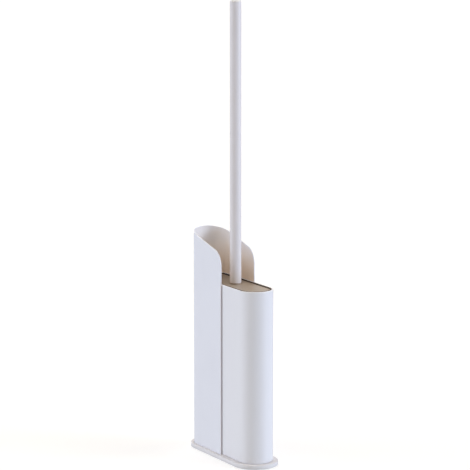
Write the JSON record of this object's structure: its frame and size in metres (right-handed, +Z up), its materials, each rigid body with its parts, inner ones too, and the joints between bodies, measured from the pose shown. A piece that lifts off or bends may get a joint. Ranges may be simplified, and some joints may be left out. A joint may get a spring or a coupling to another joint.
{
  "type": "toilet brush holder",
  "caption": "Slim floor-standing toilet brush holder: swept rear shell on a flanged base, lift-out container, and a brush hung from a flat lid under a straight handle.",
  "frame": {"origin": "middle of the base's underside, on the floor", "axes": "+Z up along the handle; +X from the closed rear shell towards the open front; Y across the narrow width"},
  "size_m": [0.1342, 0.0482, 0.478],
  "materials": {
    "base_plastic": "fine satin moulded",
    "mat_rubber": "matt ribbed non-slip sheet",
    "zinc_steel": "zinc plated",
    "ballast_steel": "raw, as cut",
    "inner_plastic": "plain moulded",
    "shell_paint": "fine matt powder coat",
    "container_plastic": "satin moulded",
    "taupe_plastic": "fine spark-eroded texture",
    "gasket_rubber": "soft matt elastomer",
    "seal_rubber": "matt",
    "handle_paint": "fine matt powder coat",
    "cap_plastic": "satin moulded",
    "core_plastic": "plain moulded",
    "bristle_rubber": "soft matt elastomer"
  },
  "bodies": {
    "root": {"base_plate": "base_plastic", "base_mat": "mat_rubber", "base_screw_1": "zinc_steel", "base_screw_2": "zinc_steel", "base_screw_3": "zinc_steel", "base_screw_4": "zinc_steel", "ballast_bar": "ballast_steel", "plinth": "inner_plastic", "rear_shell": "shell_paint"},
    "container": {"container": "container_plastic"},
    "brush": {"lid": "taupe_plastic", "lid_gasket": "gasket_rubber", "lid_seal": "seal_rubber", "handle_tube": "handle_paint", "handle_end_cap": "cap_plastic", "handle_insert": "inner_plastic", "clamp_stud": "zinc_steel", "brush_stem": "taupe_plastic", "head_pin": "zinc_steel", "head_core": "core_plastic", "bristles_near": "bristle_rubber", "bristles_far": "bristle_rubber"}
  },
  "joints": [
    {"name": "container_lift", "type": "slide", "parent": "root", "child": "container", "axis": [0, 0, 1], "range_m": [0, 0.235]},
    {"name": "brush_lift", "type": "slide", "parent": "container", "child": "brush", "axis": [0, 0, 1], "range_m": [0, 0.22]}
  ]
}
